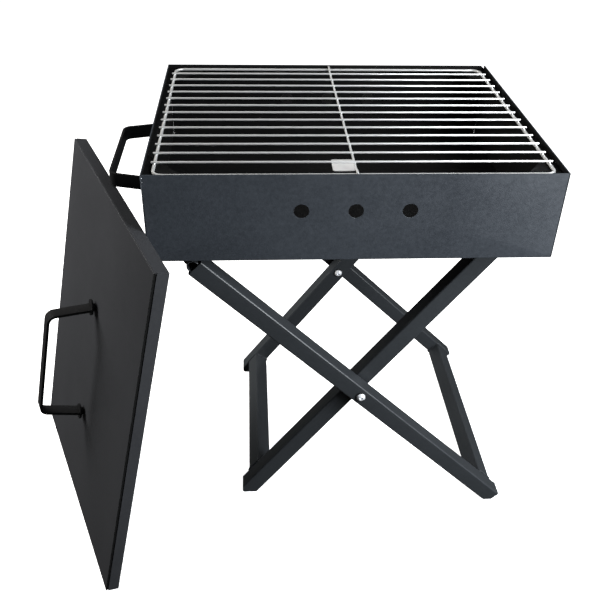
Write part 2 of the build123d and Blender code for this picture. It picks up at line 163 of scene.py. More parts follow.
def powder_skin_group():
    """Sprayed and baked powder: a pebbled skin, paler specks, and slow and mottled changes of tone."""
    group, given, result = node_group(
        "powder skin",
        "ShaderNodeTree",
        {
            "Colour": ("Color", (0.03, 0.03, 0.03, 1)),
            "Speck colour": ("Color", (0.1, 0.1, 0.1, 1)),
            "Specks": ("Float", 0.5),
            "Pebble size": ("Float", 0.001),
            "Pebble height": ("Float", 0.1),
            "Roughness": ("Float", 0.45),
            "Unevenness": ("Float", 0.1),
        },
        skin_outputs,
    )
    place = add(group, "ShaderNodeTexCoord")
    size = maths(group, "DIVIDE", {0: 1.0})
    fine = maths(group, "MULTIPLY", {1: specks_per_pebble})
    pebbles = add(group, "ShaderNodeTexNoise", {"Detail": 2.0, "Roughness": 0.6})
    specks = add(group, "ShaderNodeTexVoronoi", {"Randomness": 1.0}, feature="F1")
    speck_mask = ranged(group, *speck_edge, 1.0, 0.0)
    speck_amount = maths(group, "MULTIPLY")
    cloud = add(group, "ShaderNodeTexNoise", {"Scale": cloud_scale, "Detail": 3.0, "Roughness": 0.55})
    mottle = add(group, "ShaderNodeTexNoise", {"Scale": mottle_scale, "Detail": 3.0, "Roughness": 0.7})
    tone = maths(group, "ADD")
    tone_range = ranged(group, *tone_span, -0.5, 0.5)
    tone_amount = maths(group, "MULTIPLY")
    brightness = maths(group, "ADD", {1: 1.0})
    shaded = add(group, "ShaderNodeVectorMath", operation="SCALE")
    coloured = add(group, "ShaderNodeMix", data_type="RGBA")
    roughness = maths(group, "MULTIPLY")
    bump = add(group, "ShaderNodeBump", {"Distance": pebble_depth})
    link(
        group,
        (given, "Pebble size", size, 1),
        (place, "Object", pebbles, "Vector"),
        (size, 0, pebbles, "Scale"),
        (size, 0, fine, 0),
        (place, "Object", specks, "Vector"),
        (fine, 0, specks, "Scale"),
        (specks, "Distance", speck_mask, 0),
        (speck_mask, 0, speck_amount, 0),
        (given, "Specks", speck_amount, 1),
        (place, "Object", cloud, "Vector"),
        (place, "Object", mottle, "Vector"),
        (cloud, "Fac", tone, 0),
        (mottle, "Fac", tone, 1),
        (tone, 0, tone_range, 0),
        (tone_range, 0, tone_amount, 0),
        (given, "Unevenness", tone_amount, 1),
        (tone_amount, 0, brightness, 0),
        (given, "Colour", shaded, 0),
        (brightness, 0, shaded, "Scale"),
        (speck_amount, 0, coloured, "Factor"),
        (shaded, 0, coloured, "A"),
        (given, "Speck colour", coloured, "B"),
        (brightness, 0, roughness, 0),
        (given, "Roughness", roughness, 1),
        (pebbles, "Fac", bump, "Height"),
        (given, "Pebble height", bump, "Strength"),
        (coloured, "Result", result, "Colour"),
        (roughness, 0, result, "Roughness"),
        (bump, 0, result, "Normal"),
    )
    return group


powder_skin = powder_skin_group()


def surfaced(name, skin, given, **own):
    """A material whose colour, roughness and normal come from a skin group with these values. Its
    other values are set on the shader itself."""
    material = bpy.data.materials.new(name)
    material.use_nodes = True
    tree = material.node_tree
    shader = tree.nodes["Principled BSDF"]
    for label, value in own.items():
        shader.inputs[label.replace("_", " ")].default_value = value
    surface = add(tree, "ShaderNodeGroup", node_tree=skin)
    for label, value in given.items():
        socket = surface.inputs[label]
        socket.default_value = (*value, 1) if socket.type == "RGBA" else value
    link(
        tree,
        (surface, "Colour", shader, "Base Color"),
        (surface, "Roughness", shader, "Roughness"),
        (surface, "Normal", shader, "Normal"),
    )
    return material


def pebbled(
    name, colour, speck, roughness, specks=0.25, pebble=0.0009, height=0.2, unevenness=0.25, specular=0.4
):
    """A material with a pebbled skin: powder coat on steel, or moulded plastic."""
    values = {
        "Colour": colour,
        "Speck colour": speck,
        "Specks": specks,
        "Pebble size": pebble,
        "Pebble height": height,
        "Roughness": roughness,
        "Unevenness": unevenness,
    }
    return surfaced(name, powder_skin, values, Specular_IOR_Level=specular)


def folded_tray(length, width, depth, holes=(), notched=False, groove=None):
    """The outer skin of a tray folded from one sheet: its floor on Z = 0 and its walls upwards.

    The walls across X run the whole width, and the walls across Y stand between them, with a small
    relief at each end of their fold. A groove of this width and depth can run along the folds of the
    walls across X. Holes are (side, x, z, radius) circles in the front (-1) or back (1) wall. A
    notched tray has the right end of its back wall cut back at the rim."""
    shape = bmesh.new()
    half_x, half_y = length / 2, width / 2
    inner_x, inner_y = half_x - fold_radius, half_y - fold_radius
    turns = [pi / 2 * i / fold_steps for i in range(fold_steps + 1)]
    fold = [(fold_radius * sin(turn), fold_radius * (1 - cos(turn))) for turn in turns]

    def strip(rows):
        for near, far in zip(rows, rows[1:]):
            for i in range(len(near) - 1):
                shape.faces.new([near[i], near[i + 1], far[i + 1], far[i]])

    floor_corners = ((-1, -1), (1, -1), (1, 1), (-1, 1))
    shape.faces.new([shape.verts.new((x * inner_x, y * inner_y, 0)) for x, y in floor_corners])
    for side in (-1, 1):
        heights = fold + [(fold_radius, depth)]
        if groove:
            heights = [spot for spot in fold if spot[0] < fold_radius - groove[1] + edge_round]
            heights += [(heights[-1][0], groove[0]), (fold_radius, groove[0]), (fold_radius, depth)]
        first_dark = len(shape.faces) + 3 * (len(heights) - 4)
        rows = []
        for out, up in heights:
            end = inner_y + out
            columns = (-end, -inner_y, inner_y, end)
            rows.append([shape.verts.new((side * (inner_x + out), y, up)) for y in columns])
        strip(rows)
        if groove:
            # The groove's floor and its lip have three faces each. They take the third material, which
            # paints shade into the groove.
            shape.faces.ensure_lookup_table()
            for face in shape.faces[first_dark : first_dark + 6]:
                face.material_index = 2
        rows = []
        for out, up in fold:
            columns = (-inner_x - out, -inner_x, inner_x, inner_x + out)
            rows.append([shape.verts.new((x, side * (inner_y + out), up)) for x in columns])
        strip(rows)
        seam_x = half_x - sheet - seam_gap
        relief = fold_radius + relief_height
        rim = [(-inner_x, relief), (-seam_x, relief), (-seam_x, depth), (seam_x, depth)]
        if notched and side == 1:
            rim[3:] = [(seam_x - notch_width, depth), (seam_x, depth - notch_depth)]
        rim += [(seam_x, relief), (inner_x, relief)]
        outline = [rows[-1][2]]
        outline += [shape.verts.new((x, side * half_y, z)) for x, z in reversed(rim)]
        outline.append(rows[-1][1])
        edges = [shape.edges.new(pair) for pair in zip(outline, outline[1:])]
        edges.append(shape.edges.get((outline[-1], outline[0])))
        for wall, x, z, radius in holes:
            if wall == side:
                spots = [2 * pi * i / vent_steps for i in range(vent_steps)]
                ring = [(x + radius * cos(spot), side * half_y, z + radius * sin(spot)) for spot in spots]
                ring = [shape.verts.new(place) for place in ring]
                edges += [shape.edges.new(pair) for pair in zip(ring, ring[1:] + ring[:1])]
        bmesh.ops.triangle_fill(shape, use_beauty=True, use_dissolve=False, edges=edges)
    return shape


def thicken(piece, thickness):
    """Gives a sheet piece its thickness inwards, with the next material in its list on the inside."""
    wall = piece.modifiers.new("sheet", "SOLIDIFY")
    wall.thickness = thickness
    wall.offset = -1
    wall.use_even_offset = True
    wall.use_quality_normals = True
    wall.material_offset = 1
    return settle(piece)


firebox_coat = pebbled(
    "firebox_coat",
    colour=(0.030, 0.0345, 0.041),
    speck=(0.09, 0.10, 0.12),
    specks=0.35,
    pebble=0.0014,
    height=0.4,
    roughness=0.42,
    unevenness=0.4,
    specular=0.5,
)
# The inside coat is near black, darker than the real coat, as painted shade for the inside of the tray. The
# corner supports, their welds and the lid's groove get it too.
painted_shade_coat = pebbled(
    "painted_shade_coat",
    colour=(0.004, 0.004, 0.004),
    speck=(0.02, 0.02, 0.02),
    specks=0.2,
    pebble=0.0011,
    roughness=0.7,
    unevenness=0.4,
    specular=0.12,
)
vents = []
for side, drop in vent_drops.items():
    for i in (-1, 0, 1):
        vents.append((side, i * vent_pitch, tray_size.z - drop, vent_radius))
tray_skin = folded_tray(tray_size.x, tray_size.y, tray_size.z, vents, notched=True)
bmesh.ops.translate(tray_skin, verts=tray_skin.verts, vec=(tray_middle.x, tray_middle.y, tray_low.z))
firebox_tray = piece_from("firebox_tray", tray_skin)
firebox_tray.data.materials.append(firebox_coat)
firebox_tray.data.materials.append(painted_shade_coat)
round_edges(thicken(firebox_tray, sheet))
dress(firebox_tray, "firebox", "firebox_coating", None, "firebox_shell")

# Knock-outs: the three half-sheared discs in the back wall. Each still fills its hole, half a
# millimetre further in than the wall, with the tray's coat outside and, inside, a near-black coat of
# painted shade that is a little paler than the rest of the tray's inside.
disc_round = 0.0001
disc_front = tray_high.y - sheet - knockout_step


def drum(shape, sides, radius, length, place):
    """Adds a closed cylinder or prism that is centred on this place and runs along its Z."""
    bmesh.ops.create_cone(
        shape, cap_ends=True, segments=sides, radius1=radius, radius2=radius, depth=length, matrix=place
    )


knockouts = bmesh.new()
for i in (-1, 0, 1):
    middle = Vector((tray_middle.x + i * vent_pitch, disc_front + sheet / 2, tray_high.z - vent_drops[1]))
    lying = Matrix.Translation(middle) @ Matrix.Rotation(pi / 2, 4, "X")
    drum(knockouts, vent_steps, vent_radius, sheet, lying)
knockout_discs = piece_from("knockout_discs", knockouts)
# The discs' inner coat is near black as painted shade, a little paler than the rest of the inside.
knockout_shade_coat = pebbled(
    "knockout_shade_coat",
    colour=(0.011, 0.0105, 0.010),
    speck=(0.03, 0.028, 0.026),
    specks=0.3,
    pebble=0.0011,
    roughness=0.7,
    unevenness=0.4,
    specular=0.12,
)
knockout_discs.data.materials.append(firebox_coat)
knockout_discs.data.materials.append(knockout_shade_coat)
for face in knockout_discs.data.polygons:
    face.material_index = int(face.center.y < disc_front + sheet / 4)
dress(round_edges(knockout_discs, disc_round), "firebox", "firebox_coating", None)

# Hinge brackets and catch plates: bent and slotted plates of 2 mm steel under the tray's floor. The
# hinge tube turns in the brackets' ears, and the inner frame's top bar hangs in the catch plates.
plate_round = 0.0003
merge_angle = radians(1)


def copy_of(name, node, width):
    """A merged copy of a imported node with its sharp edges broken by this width."""
    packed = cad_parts[node].data
    plain = bpy.data.meshes.new(name)
    plain.from_pydata([v.co for v in packed.vertices], [], [list(face.vertices) for face in packed.polygons])
    shape = bmesh.new()
    shape.from_mesh(plain)
    bpy.data.meshes.remove(plain)
    bmesh.ops.remove_doubles(shape, verts=shape.verts, dist=merge_distance)
    bmesh.ops.dissolve_limit(shape, angle_limit=merge_angle, verts=shape.verts, edges=shape.edges)
    return round_edges(piece_from(name, shape, turn_out=False), width)


bracket_coat = pebbled(
    "bracket_coat",
    colour=(0.020, 0.021, 0.023),
    speck=(0.06, 0.06, 0.065),
    height=0.22,
    roughness=0.45,
)
for node in ("hinge_bracket_front", "hinge_bracket_rear", "catch_plate_front", "catch_plate_rear"):
    piece = copy_of(f"bent_{node}", node, plate_round)
    dress(piece, "firebox", "bracket_coating", bracket_coat, node)

# Rivets: domed steel rivets that hold the brackets and catch plates to the tray's floor, two in each
# plate. Their heads show on the floor inside the tray and their set ends below the plates.
rivet_shank = 0.002
rivet_head = (0.004, 0.0016)
rivet_low_head = (0.0035, 0.0016)
rivet_pitch = 0.020
rivet_grip = 0.0032
rivet_round = 0.0002
dome_steps = 6
turned_steps = 32


def turned(profile, steps=turned_steps, closed=False):
    """A shape turned about Z from (radius, height) points. A closed profile is a ring's section."""
    shape = bmesh.new()
    spots = [2 * pi * i / steps for i in range(steps)]
    rings = []
    for radius, height in profile:
        if radius == 0:
            rings.append([shape.verts.new((0, 0, height))] * steps)
        else:
            rings.append([shape.verts.new((radius * cos(a), radius * sin(a), height)) for a in spots])
    pairs = list(zip(rings, rings[1:]))
    if closed:
        pairs.append((rings[-1], rings[0]))
    for low, high in pairs:
        for i in range(steps):
            j = (i + 1) % steps
            shape.faces.new(list(dict.fromkeys([low[i], low[j], high[j], high[i]])))
    return shape


def dome(radius, height, base=0.0, way=1):
    """Profile points of a domed head that starts on its rim, goes away from base and ends on the axis."""
    ball = (radius**2 + height**2) / (2 * height)
    widest = atan2(radius, ball - height)
    points = []
    for i in range(dome_steps + 1):
        turn = widest * (1 - i / dome_steps)
        points.append((ball * sin(turn), base + way * (ball * cos(turn) - ball + height)))
    points[-1] = (0, points[-1][1])
    return points


def end_tree(tree, given, result, last, output):
    """Ends a tree after its last node: copies are made real, and all of it gets the finish."""
    whole = add(tree, "GeometryNodeRealizeInstances")
    coated = add(tree, "GeometryNodeSetMaterial")
    link(
        tree,
        (last, output, whole, "Geometry"),
        (whole, "Geometry", coated, "Geometry"),
        (given, "Finish", coated, "Material"),
        (coated, "Geometry", result, "Shape"),
    )
    return tree


def rows_tree():
    """Copies of a shape in a row of rows."""
    tree, given, result = node_group(
        "rows of copies",
        "GeometryNodeTree",
        {
            "Shape": ("Geometry", None),
            "Count": ("Int", 2),
            "Step": ("Vector", (0.01, 0, 0)),
            "Rows": ("Int", 1),
            "Row step": ("Vector", (0, 0.01, 0)),
            "Finish": ("Material", None),
        },
        {"Shape": "Geometry"},
    )
    row = add(tree, "GeometryNodeMeshLine")
    column = add(tree, "GeometryNodeMeshLine")
    spots = add(tree, "GeometryNodeInstanceOnPoints")
    loose_spots = add(tree, "GeometryNodeRealizeInstances")
    copies = add(tree, "GeometryNodeInstanceOnPoints")
    link(
        tree,
        (given, "Count", row, "Count"),
        (given, "Step", row, "Offset"),
        (given, "Rows", column, "Count"),
        (given, "Row step", column, "Offset"),
        (column, "Mesh", spots, "Points"),
        (row, "Mesh", spots, "Instance"),
        (spots, "Instances", loose_spots, "Geometry"),
        (loose_spots, "Geometry", copies, "Points"),
        (given, "Shape", copies, "Instance"),
    )
    return end_tree(tree, given, result, copies, "Instances")


def grow(piece, tree, values):
    """Runs a geometry tree on a piece with these values by input name, and keeps its plain mesh."""
    modifier = piece.modifiers.new(tree.name, "NODES")
    modifier.node_group = tree
    for item in tree.interface.items_tree:
        if item.in_out == "INPUT" and item.name in values:
            modifier[item.identifier] = values[item.name]
    return settle(piece)


patch_scale = 70.0
patch_edge = (0.45, 0.7)
patch_roughness = 0.5
mark_depth = 0.0001


def metal_skin_group():
    """Bare or plated metal: drawn or rolled marks along one direction, and duller patches."""
    group, given, result = node_group(
        "metal skin",
        "ShaderNodeTree",
        {
            "Colour": ("Color", (0.6, 0.6, 0.6, 1)),
            "Dull colour": ("Color", (0.3, 0.3, 0.3, 1)),
            "Dullness": ("Float", 0.3),
            "Roughness": ("Float", 0.3),
            "Mark stretch": ("Vector", (40.0, 900.0, 900.0)),
            "Mark depth": ("Float", 0.05),
        },
        skin_outputs,
    )
    place = add(group, "ShaderNodeTexCoord")
    stretched = add(group, "ShaderNodeVectorMath", operation="MULTIPLY")
    marks = add(group, "ShaderNodeTexNoise", {"Scale": 1.0, "Detail": 3.0, "Roughness": 0.6})
    patches = add(group, "ShaderNodeTexNoise", {"Scale": patch_scale, "Detail": 4.0, "Roughness": 0.6})
    patch_mask = ranged(group, *patch_edge, 0.0, 1.0)
    patch_amount = maths(group, "MULTIPLY")
    coloured = add(group, "ShaderNodeMix", data_type="RGBA")
    rougher = maths(group, "MULTIPLY_ADD", {1: patch_roughness, 2: 1.0})
    roughness = maths(group, "MULTIPLY")
    bump = add(group, "ShaderNodeBump", {"Distance": mark_depth})
    link(
        group,
        (place, "Object", stretched, 0),
        (given, "Mark stretch", stretched, 1),
        (stretched, 0, marks, "Vector"),
        (place, "Object", patches, "Vector"),
        (patches, "Fac", patch_mask, 0),
        (patch_mask, 0, patch_amount, 0),
        (given, "Dullness", patch_amount, 1),
        (patch_amount, 0, coloured, "Factor"),
        (given, "Colour", coloured, "A"),
        (given, "Dull colour", coloured, "B"),
        (patch_amount, 0, rougher, 0),
        (rougher, 0, roughness, 0),
        (given, "Roughness", roughness, 1),
        (marks, "Fac", bump, "Height"),
        (given, "Mark depth", bump, "Strength"),
        (coloured, "Result", result, "Colour"),
        (roughness, 0, result, "Roughness"),
        (bump, 0, result, "Normal"),
    )
    return group


metal_skin = metal_skin_group()
copies_in_rows = rows_tree()


def metal(name, colour, dull, dullness, roughness, depth, stretch=(900.0, 900.0, 900.0), metallic=1.0):
    """A bare, plated or blackened metal material."""
    values = {
        "Colour": colour,
        "Dull colour": dull,
        "Dullness": dullness,
        "Roughness": roughness,
        "Mark stretch": stretch,
        "Mark depth": depth,
    }
    return surfaced(name, metal_skin, values, Metallic=metallic)


rivet_steel = metal(
    "rivet_steel",
    colour=(0.045, 0.045, 0.046),
    dull=(0.020, 0.020, 0.020),
    dullness=0.7,
    roughness=0.5,
    depth=0.15,
    metallic=0.6,
)
for node in ("hinge_bracket_rivets", "catch_plate_rivets"):
    low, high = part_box(node)
    profile = dome(*rivet_low_head, base=-rivet_grip, way=-1)[::-1]
    profile += [(rivet_shank, -rivet_grip), (rivet_shank, 0)]
    profile += dome(*rivet_head)
    rivet = turned(profile)
    first = Vector((low.x + rivet_head[0], low.y + rivet_head[0], high.z - rivet_head[1]))
    bmesh.ops.translate(rivet, verts=rivet.verts, vec=first)
    piece = piece_from(f"set_{node}", rivet)
    round_edges(piece, rivet_round)
    across = high.y - low.y - 2 * rivet_head[0]
    rows = {"Count": 2, "Step": (rivet_pitch, 0, 0), "Rows": 2, "Row step": (0, across, 0)}
    grow(piece, copies_in_rows, {**rows, "Finish": rivet_steel})
    dress(piece, "firebox", "rivet_steel", None, node)

# Corner supports: flat triangular plates of 1.5 mm steel, welded across the tray's four corners, that
# the grate lies on. They get the tray's near-black inside coat, which paints in the shade there.
support_round = 0.0002
for node in ("front_left", "rear_left", "front_right", "rear_right"):
    piece = copy_of(f"corner_support_{node}", f"grate_support_{node}", support_round)
    dress(piece, "firebox", "firebox_coating", painted_shade_coat, f"grate_support_{node}")

# Side handle: one flat bar, 15 by 3 mm, bent twice over a former. Its ends are cut at an angle and
# welded to the left wall.
bar_width, bar_thickness = 0.015, 0.003
bar_bend = 0.009
bar_edge = 0.0004
ease_steps = 3
bend_steps = 14
side_reach = 0.047
side_foot_half, side_grip_half = 0.0765, 0.0635
foot_spare = 0.006


def bent_tree(name, sizes, draw_section):
    """A tree that runs a section along a path of corners and fillets it at each corner. Its sizes are
    the bend radius and those from which the section is drawn."""
    inputs = {
        "Path": ("Geometry", None),
        "Bend steps": ("Int", bend_steps),
        "Finish": ("Material", None),
    }
    inputs.update({label: ("Float", size) for label, size in sizes.items()})
    tree, given, result = node_group(name, "GeometryNodeTree", inputs, {"Shape": "Geometry"})
    path = add(tree, "GeometryNodeMeshToCurve")
    bent = add(tree, "GeometryNodeFilletCurve", mode="POLY")
    section = draw_section(tree, given)
    swept = add(tree, "GeometryNodeCurveToMesh", {"Fill Caps": True})
    smooth = add(tree, "GeometryNodeSetShadeSmooth")
    link(
        tree,
        (given, "Path", path, "Mesh"),
        (path, "Curve", bent, "Curve"),
        (given, "Bend radius", bent, "Radius"),
        (given, "Bend steps", bent, "Count"),
        (bent, "Curve", swept, "Curve"),
        (section, "Curve", swept, "Profile Curve"),
        (swept, "Mesh", smooth, "Geometry"),
    )
    return end_tree(tree, given, result, smooth, "Geometry")


def flat_section(tree, given):
    """The section of a flat bar with eased edges."""
    plain = add(tree, "GeometryNodeCurvePrimitiveQuadrilateral", mode="RECTANGLE")
    eased = add(tree, "GeometryNodeFilletCurve", {"Count": ease_steps}, mode="POLY")
    link(
        tree,
        (given, "Width", plain, "Width"),
        (given, "Thickness", plain, "Height"),
        (plain, "Curve", eased, "Curve"),
        (given, "Edge radius", eased, "Radius"),
    )
    return eased


def path_piece(name, *lines, closed=False):
    """A piece of bare edges along these lines of points."""
    shape = bmesh.new()
    for line in lines:
        spots = [shape.verts.new(place) for place in line]
        for pair in zip(spots, spots[1:] + (spots[:1] if closed else [])):
            shape.edges.new(pair)
    return piece_from(name, shape, turn_out=False)


def handle(name, foot_half, grip_half, reach, foot_height, place, material):
    """A bent bar handle: its grip runs along the place's X at this reach up its Z, its width lies
    along Y, and its feet are cut flat at foot_height."""
    half = bar_thickness / 2
    slope = (foot_half - grip_half) / (reach - half)
    foot = foot_half - half + slope * foot_spare
    corner = grip_half - half
    path = [(-foot, 0, -foot_spare), (-corner, 0, reach - half), (corner, 0, reach - half)]
    path.append((foot, 0, -foot_spare))
    piece = grow(path_piece(name, path), flat_bar, {"Finish": material})
    shape = bmesh.new()
    shape.from_mesh(piece.data)
    bmesh.ops.remove_doubles(shape, verts=shape.verts, dist=merge_distance)
    parts = list(shape.verts) + list(shape.edges) + list(shape.faces)
    level = (0, 0, foot_height)
    bmesh.ops.bisect_plane(shape, geom=parts, plane_co=level, plane_no=(0, 0, -1), clear_outer=True)
    bmesh.ops.holes_fill(shape, edges=[edge for edge in shape.edges if edge.is_boundary])
    bmesh.ops.transform(shape, matrix=place, verts=shape.verts)
    bmesh.ops.recalc_face_normals(shape, faces=shape.faces)
    shape.to_mesh(piece.data)
    shape.free()
    piece.data.shade_smooth()
    piece.data.set_sharp_from_angle(angle=sharp_angle)
    return piece


bar_sizes = {"Bend radius": bar_bend, "Width": bar_width, "Thickness": bar_thickness}
flat_bar = bent_tree("bent flat bar", {**bar_sizes, "Edge radius": bar_edge}, flat_section)
handle_coat = pebbled(
    "handle_coat",
    colour=(0.012, 0.012, 0.0125),
    speck=(0.045, 0.045, 0.047),
    roughness=0.42,
)
low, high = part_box("side_handle")
to_the_left = Matrix(((0, 0, -1, 0), (1, 0, 0, 0), (0, -1, 0, 0), (0, 0, 0, 1)))
side_place = Matrix.Translation((high.x, (low.y + high.y) / 2, (low.z + high.z) / 2)) @ to_the_left
side_handle = handle(
    "bent_side_handle", side_foot_half, side_grip_half, side_reach, 0, side_place, handle_coat
)
dress(side_handle, "firebox", "handle_coating", handle_coat, "side_handle")

# Welds on the firebox: short beads along the side handle's feet and under the corner supports, which
# lie under the powder coat, and bright ones of bare steel that stand in for glossy highlights as a
# painted highlight: two tacks on the front left seam and a spot inside the rim.
bead_radius = 0.0008
ripple_pitch = 0.0011
ripple_points = 4.0
ripple_valley = 0.78
bead_tip = 0.35
waver_scale = 400.0
waver_sizes = (0.8, 1.2)
bead_sides = 8
bead_offset = 0.0002
wall_offset = 0.0001
bead_spare = 0.001
tack_drops = (0.0025, 0.0065)
tack_length = 0.0012
tack_radius, tack_ripple = 0.0005, 0.0006
rim_spot, rim_drop = 0.032, 0.0006
support_bead = 0.010
support_shares = (0.3, 0.75)


def weld_tree():
    """Weld beads along bare edges: rippled, uneven and rounded off at both ends."""
    tree, given, result = node_group(
        "weld beads",
        "GeometryNodeTree",
        {
            "Path": ("Geometry", None),
            "Bead radius": ("Float", bead_radius),
            "Ripple pitch": ("Float", ripple_pitch),
            "Seed": ("Float", 1.0),
            "Finish": ("Material", None),
        },
        {"Shape": "Geometry"},
    )
    path = add(tree, "GeometryNodeMeshToCurve")
    spacing = maths(tree, "DIVIDE", {1: ripple_points})
    fine = add(tree, "GeometryNodeResampleCurve", mode="LENGTH")
    along = add(tree, "GeometryNodeSplineParameter")
    total = add(tree, "GeometryNodeSplineLength")
    turns = maths(tree, "DIVIDE")
    angle = maths(tree, "MULTIPLY", {1: pi})
    wave = maths(tree, "SINE")
    ripple = maths(tree, "ABSOLUTE")
    swell = ranged(tree, 0.0, 1.0, ripple_valley, 1.0)
    rest = maths(tree, "SUBTRACT")
    end = maths(tree, "MINIMUM")
    end_share = maths(tree, "DIVIDE")
    taper = ranged(tree, 0.0, 1.0, bead_tip, 1.0)
    waver = add(tree, "ShaderNodeTexNoise", {"Scale": waver_scale, "Detail": 1.0}, noise_dimensions="4D")
    waver_range = ranged(tree, 0.3, 0.7, *waver_sizes)
    first = maths(tree, "MULTIPLY")
    second = maths(tree, "MULTIPLY")
    third = maths(tree, "MULTIPLY")
    section = add(tree, "GeometryNodeCurvePrimitiveCircle", {"Resolution": bead_sides, "Radius": 1.0})
    bead = add(tree, "GeometryNodeCurveToMesh", {"Fill Caps": True})
    smooth = add(tree, "GeometryNodeSetShadeSmooth")
    link(
        tree,
        (given, "Path", path, "Mesh"),
        (given, "Ripple pitch", spacing, 0),
        (path, "Curve", fine, "Curve"),
        (spacing, 0, fine, "Length"),
        (along, "Length", turns, 0),
        (given, "Ripple pitch", turns, 1),
        (turns, 0, angle, 0),
        (angle, 0, wave, 0),
        (wave, 0, ripple, 0),
        (ripple, 0, swell, 0),
        (total, "Length", rest, 0),
        (along, "Length", rest, 1),
        (rest, 0, end, 0),
        (along, "Length", end, 1),
        (end, 0, end_share, 0),
        (given, "Bead radius", end_share, 1),
        (end_share, 0, taper, 0),
        (given, "Seed", waver, "W"),
        (waver, "Fac", waver_range, 0),
        (swell, 0, first, 0),
        (taper, 0, first, 1),
        (waver_range, 0, second, 0),
        (first, 0, second, 1),
        (given, "Bead radius", third, 0),
        (second, 0, third, 1),
        (fine, "Curve", bead, "Curve"),
        (section, "Curve", bead, "Profile Curve"),
        (third, 0, bead, "Scale"),
        (bead, "Mesh", smooth, "Geometry"),
    )
    return end_tree(tree, given, result, smooth, "Geometry")


def weld(name, lines, body, slot, values, closed=False):
    """Weld beads along these lines of points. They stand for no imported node."""
    dress(grow(path_piece(name, *lines, closed=closed), weld_beads, values), body, slot, None)


weld_beads = weld_tree()
lines = []
wall_x = tray_low.x - wall_offset
for side in (-1, 1):
    foot_y = (low.y + high.y) / 2 + side * (side_foot_half - bar_thickness / 2)
    for edge in (-1, 1):
        line_y = foot_y + edge * (bar_thickness / 2 + bead_offset)
        lines.append([(wall_x, line_y, z) for z in (low.z + bead_spare, high.z - bead_spare)])
weld("side_handle_welds", lines, "firebox", "handle_coating", {"Finish": handle_coat})

lines = []
for end_x, end_y in ((-1, -1), (-1, 1), (1, -1), (1, 1)):
    x_name = "left" if end_x < 0 else "right"
    y_name = "front" if end_y < 0 else "rear"
    low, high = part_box(f"grate_support_{y_name}_{x_name}")
    plate_z = low.z - bead_offset
    wall_x = low.x if end_x < 0 else high.x
    wall_y = low.y if end_y < 0 else high.y
    far_x, far_y = wall_x - end_x * (high.x - low.x), wall_y - end_y * (high.y - low.y)
    ends = (-support_bead / 2, support_bead / 2)
    for share in support_shares:
        spot = wall_y + share * (far_y - wall_y)
        lines.append([(wall_x, spot + end, plate_z) for end in ends])
        spot = wall_x + share * (far_x - wall_x)
        lines.append([(spot + end, wall_y, plate_z) for end in ends])
# The beads under the supports get the near-black coat that paints in the shade inside the tray.
weld("support_welds", lines, "firebox", "firebox_coating", {"Finish": painted_shade_coat, "Seed": 2.0})

# The tacks' bright bare steel is a painted highlight: it stands in for glossy highlights on the seam and
# rim.
glint_tack_steel = metal(
    "glint_tack_steel",
    colour=(0.55, 0.56, 0.58),
    dull=(0.10, 0.10, 0.11),
    dullness=0.8,
    roughness=0.4,
    depth=0.2,
)
seam_x = tray_low.x + (sheet + fold_radius) / 2
lines = []
for drop in tack_drops:
    lines.append([(seam_x, tray_low.y, tray_high.z - z) for z in (drop, drop + tack_length)])
spot_x, spot_y, spot_z = tray_low.x + rim_spot, tray_low.y + sheet, tray_high.z - rim_drop
lines.append([(spot_x, spot_y, spot_z), (spot_x + tack_length, spot_y, spot_z)])
tacks = {"Finish": glint_tack_steel, "Seed": 3.0, "Bead radius": tack_radius, "Ripple pitch": tack_ripple}
weld("seam_tacks", lines, "firebox", "firebox_coating", tacks)

# Outer leg frame: two square tubes, 20 mm wide, with a square foot bar welded between their lower
# ends and a round hinge tube between their upper ones. All of it is powder coated in one piece.
tube, tube_corner = 0.020, 0.002
tube_round = 0.0004
frame_bead = 0.0010
ring_steps = 24
leg_coat = pebbled(
    "leg_coat",
    colour=(0.027, 0.030, 0.033),
    speck=(0.07, 0.07, 0.075),
    specks=0.3,
    roughness=0.36,
    unevenness=0.2,
    specular=0.5,
)
for node in ("outer_leg_front", "outer_leg_rear", "outer_foot_bar", "hinge_tube"):
    piece = copy_of(f"coated_{node}", node, tube_round)
    dress(piece, "outer_frame", "leg_coating", leg_coat, node)


def square_line(middle_x, middle_z, y, slope):
    """The line round a square tube that runs along Y, turned by this slope."""
    half, cut = tube / 2 + bead_offset, tube_corner / 2
    corners = [(half, half - cut), (half - cut, half), (cut - half, half), (-half, half - cut)]
    corners += [(-x, -z) for x, z in corners]
    c, s = cos(slope), sin(slope)
    return [(middle_x + x * c - z * s, y, middle_z + x * s + z * c) for x, z in corners]


def ring_line(middle_x, middle_z, y, radius):
    """The line round a round tube that runs along Y."""
    spots = [2 * pi * i / ring_steps for i in range(ring_steps)]
    return [(middle_x + radius * cos(spot), y, middle_z + radius * sin(spot)) for spot in spots]


def bar_middle(node):
    """The middle of a bar that runs along Y, its half size across it, and the y of its two ends."""
    low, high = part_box(node)
    return (low.x + high.x) / 2, (low.z + high.z) / 2, (high.x - low.x) / 2, (low.y, high.y)


outer_slope = radians(-44.2)
foot_x, foot_z, _, foot_ends = bar_middle("outer_foot_bar")
hinge_x, hinge_z, hinge_radius, _ = bar_middle("hinge_tube")
lines = [square_line(foot_x, foot_z, y, outer_slope) for y in foot_ends]
lines += [ring_line(hinge_x, hinge_z, y, hinge_radius + bead_offset) for y in foot_ends]
beads = {"Finish": leg_coat, "Bead radius": frame_bead, "Seed": 4.0}
weld("outer_frame_welds", lines, "outer_frame", "leg_coating", beads, closed=True)

